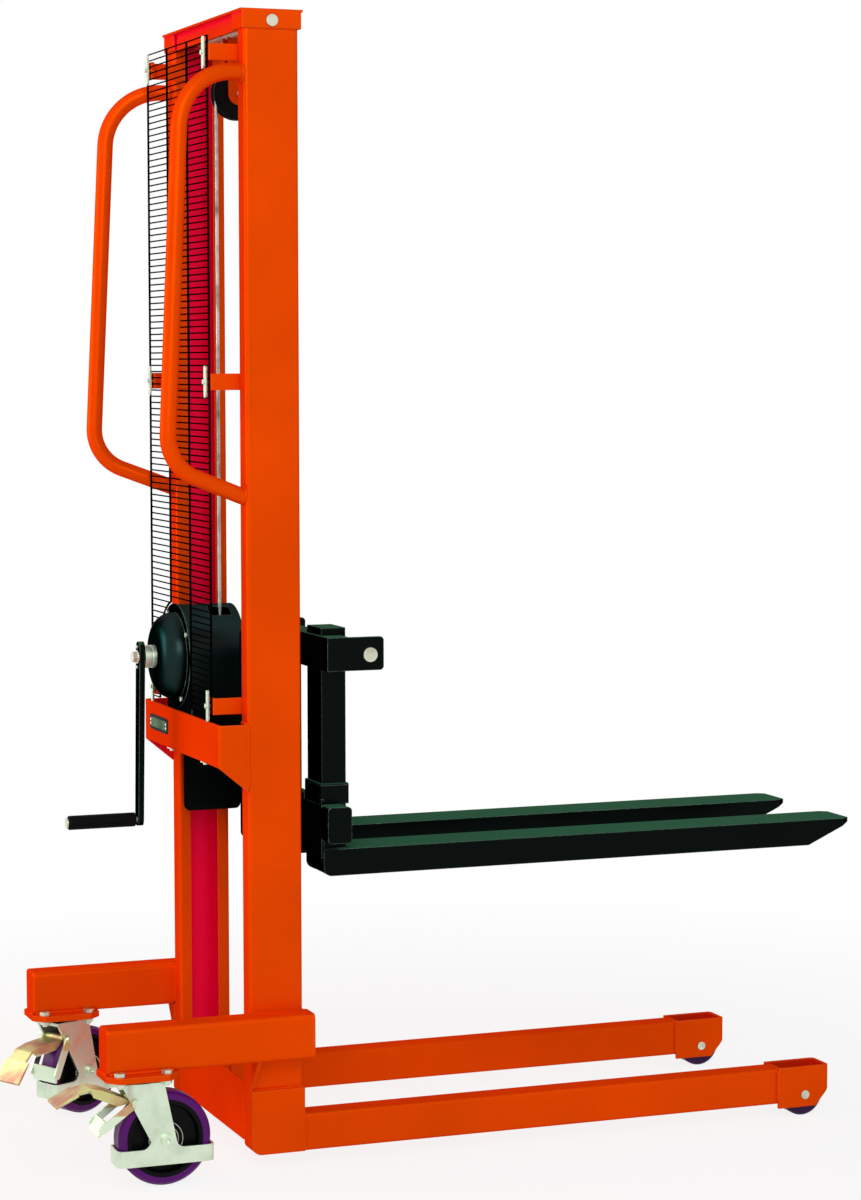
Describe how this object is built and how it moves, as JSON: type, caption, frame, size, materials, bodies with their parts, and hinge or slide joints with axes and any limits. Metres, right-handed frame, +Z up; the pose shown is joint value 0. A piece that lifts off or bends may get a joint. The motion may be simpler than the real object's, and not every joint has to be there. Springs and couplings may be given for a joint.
{
  "type": "hand winch pallet stacker",
  "caption": "Manual pallet stacker: channel mast with wire guard, crank winch and rope hoist, lifting fork carriage, straddle legs, braked swivel casters and push handles.",
  "frame": {"origin": "middle of the outline on the floor, under the load side of the mast", "axes": "+X towards the fork tips, +Y to the truck's left, +Z up"},
  "size_m": [1.534, 0.6478, 1.962],
  "materials": {
    "orange_paint": "gloss orange-red enamel",
    "black_paint": "satin black enamel",
    "zinc": "bright zinc plate",
    "bright_steel": "turned steel",
    "yellow_zinc": "yellow passivated zinc",
    "purple_tread": "purple polyurethane",
    "wheel_core": "moulded nylon",
    "grip_plastic": "fine grain plastic",
    "wire_rope": "stranded wire rope",
    "black_wire": "black coated wire",
    "gear_iron": "machined iron"
  },
  "bodies": {
    "frame": {"mast_left": "orange_paint", "mast_right": "orange_paint", "mast_shoes": "orange_paint", "base_crossbeam": "orange_paint", "leg_left": "orange_paint", "leg_right": "orange_paint", "roller_brackets": "orange_paint", "roller_axles": "bright_steel", "rear_beam_left": "orange_paint", "rear_beam_right": "orange_paint", "beam_gussets": "orange_paint", "crosshead": "orange_paint", "head_pins": "bright_steel", "sheave_bracket": "orange_paint", "rope_over_sheave": "wire_rope", "rope_fall": "wire_rope", "handles": "orange_paint", "winch_shelf": "orange_paint", "guard_bars": "orange_paint", "guard_clips": "zinc", "guard_mesh": "black_wire", "winch_housing": "black_paint", "gear_cover": "black_paint", "ring_gear": "gear_iron", "caster_plates": "orange_paint", "swivel_races": "black_paint", "hex_bolts": "zinc"},
    "carriage": {"lift_plates": "black_paint", "guide_axles": "black_paint", "upper_bar": "black_paint", "lower_bar": "black_paint", "attachment_shaft": "bright_steel", "cross_tie": "black_paint", "rope_socket": "bright_steel", "fork_left": "black_paint", "fork_right": "black_paint"},
    "guide_low": {"guide_rollers_low": "bright_steel"},
    "guide_high": {"guide_rollers_high": "bright_steel"},
    "sheave": {"sheave": "wheel_core"},
    "drum": {"rope_drum": "gear_iron", "rope_winding": "wire_rope"},
    "planet_1": {"planet_gear_1": "gear_iron"},
    "planet_2": {"planet_gear_2": "gear_iron"},
    "planet_3": {"planet_gear_3": "gear_iron"},
    "crank": {"crank_shaft": "bright_steel", "crank_arm": "black_paint", "crank_fittings": "bright_steel"},
    "grip": {"crank_grip": "grip_plastic"},
    "front_roller_left": {"front_roller_left": "wheel_core"},
    "front_roller_right": {"front_roller_right": "wheel_core"},
    "caster_left": {"caster_yoke_left": "zinc", "caster_pins_left": "zinc"},
    "caster_wheel_left": {"caster_tread_left": "purple_tread", "caster_core_left": "wheel_core"},
    "pedal_left": {"caster_pedal_left": "yellow_zinc"},
    "caster_right": {"caster_yoke_right": "zinc", "caster_pins_right": "zinc"},
    "caster_wheel_right": {"caster_tread_right": "purple_tread", "caster_core_right": "wheel_core"},
    "pedal_right": {"caster_pedal_right": "yellow_zinc"}
  },
  "joints": [
    {"name": "carriage_lift", "type": "slide", "parent": "frame", "child": "carriage", "axis": [0, 0, 1], "range_m": [-0.445, 1], "deforming": ["rope_fall"]},
    {"name": "drum_turn", "type": "hinge", "parent": "frame", "child": "drum", "pos_m": [-0.36698, 0.02413, 0.86], "axis": [1, 0, 0], "range_deg": [-673, 1509.8]},
    {"name": "crank_turn", "type": "hinge", "parent": "frame", "child": "crank", "pos_m": [-0.36698, 0.02413, 0.86], "axis": [1, 0, 0], "range_deg": [-2685.9, 6033.1]},
    {"name": "sheave_turn", "type": "hinge", "parent": "frame", "child": "sheave", "pos_m": [-0.35498, -0.01387, 1.84], "axis": [0, 1, 0], "range_deg": [-1509.8, 673]},
    {"name": "guide_high_roll", "type": "hinge", "parent": "carriage", "child": "guide_high", "pos_m": [-0.36698, -0.01387, 0.875], "axis": [0, 1, 0], "range_deg": [-606.2, 1359.7]},
    {"name": "guide_low_roll", "type": "hinge", "parent": "carriage", "child": "guide_low", "pos_m": [-0.36698, -0.01387, 0.61], "axis": [0, 1, 0], "range_deg": [-1359.7, 606.2]},
    {"name": "planet_1_spin", "type": "hinge", "parent": "drum", "child": "planet_1", "pos_m": [-0.48098, 0.02413, 0.896], "axis": [1, 0, 0], "range_deg": [-4525.4, 2014.9]},
    {"name": "planet_2_spin", "type": "hinge", "parent": "drum", "child": "planet_2", "pos_m": [-0.48098, -0.00705, 0.842], "axis": [1, 0, 0], "range_deg": [-4525.4, 2014.9]},
    {"name": "planet_3_spin", "type": "hinge", "parent": "drum", "child": "planet_3", "pos_m": [-0.48098, 0.05531, 0.842], "axis": [1, 0, 0], "range_deg": [-4525.4, 2014.9]},
    {"name": "grip_spin", "type": "hinge", "parent": "crank", "child": "grip", "pos_m": [-0.53198, 0.03931, 0.5704], "axis": [1, 0, 0], "continuous": true},
    {"name": "front_roller_left_roll", "type": "hinge", "parent": "frame", "child": "front_roller_left", "pos_m": [0.64102, 0.20113, 0.04], "axis": [0, 1, 0], "continuous": true},
    {"name": "caster_left_swivel", "type": "hinge", "parent": "frame", "child": "caster_left", "pos_m": [-0.62098, 0.24363, 0.1786], "axis": [0, 0, 1], "continuous": true},
    {"name": "caster_left_roll", "type": "hinge", "parent": "caster_left", "child": "caster_wheel_left", "pos_m": [-0.58356, 0.2627, 0.08], "axis": [-0.454, 0.891, 0], "continuous": true},
    {"name": "pedal_left_press", "type": "hinge", "parent": "caster_left", "child": "pedal_left", "pos_m": [-0.6326, 0.23772, 0.147], "axis": [0.454, -0.891, 0], "range_deg": [-30, 0]},
    {"name": "front_roller_right_roll", "type": "hinge", "parent": "frame", "child": "front_roller_right", "pos_m": [0.64102, -0.22887, 0.04], "axis": [0, 1, 0], "continuous": true},
    {"name": "caster_right_swivel", "type": "hinge", "parent": "frame", "child": "caster_right", "pos_m": [-0.62098, -0.27137, 0.1786], "axis": [0, 0, 1], "continuous": true},
    {"name": "caster_right_roll", "type": "hinge", "parent": "caster_right", "child": "caster_wheel_right", "pos_m": [-0.57898, -0.27137, 0.08], "axis": [0, 1, 0], "continuous": true},
    {"name": "pedal_right_press", "type": "hinge", "parent": "caster_right", "child": "pedal_right", "pos_m": [-0.63402, -0.27137, 0.147], "axis": [0, -1, 0], "range_deg": [0, 30]}
  ],
  "couplings": [
    {"joint": "drum_turn", "follows": "carriage_lift", "rad_per_m": 26.316},
    {"joint": "crank_turn", "follows": "carriage_lift", "rad_per_m": 105.26},
    {"joint": "sheave_turn", "follows": "carriage_lift", "rad_per_m": -26.316},
    {"joint": "guide_high_roll", "follows": "carriage_lift", "rad_per_m": 23.697},
    {"joint": "guide_low_roll", "follows": "carriage_lift", "rad_per_m": -23.697},
    {"joint": "planet_1_spin", "follows": "carriage_lift", "rad_per_m": -78.947},
    {"joint": "planet_2_spin", "follows": "carriage_lift", "rad_per_m": -78.947},
    {"joint": "planet_3_spin", "follows": "carriage_lift", "rad_per_m": -78.947}
  ]
}
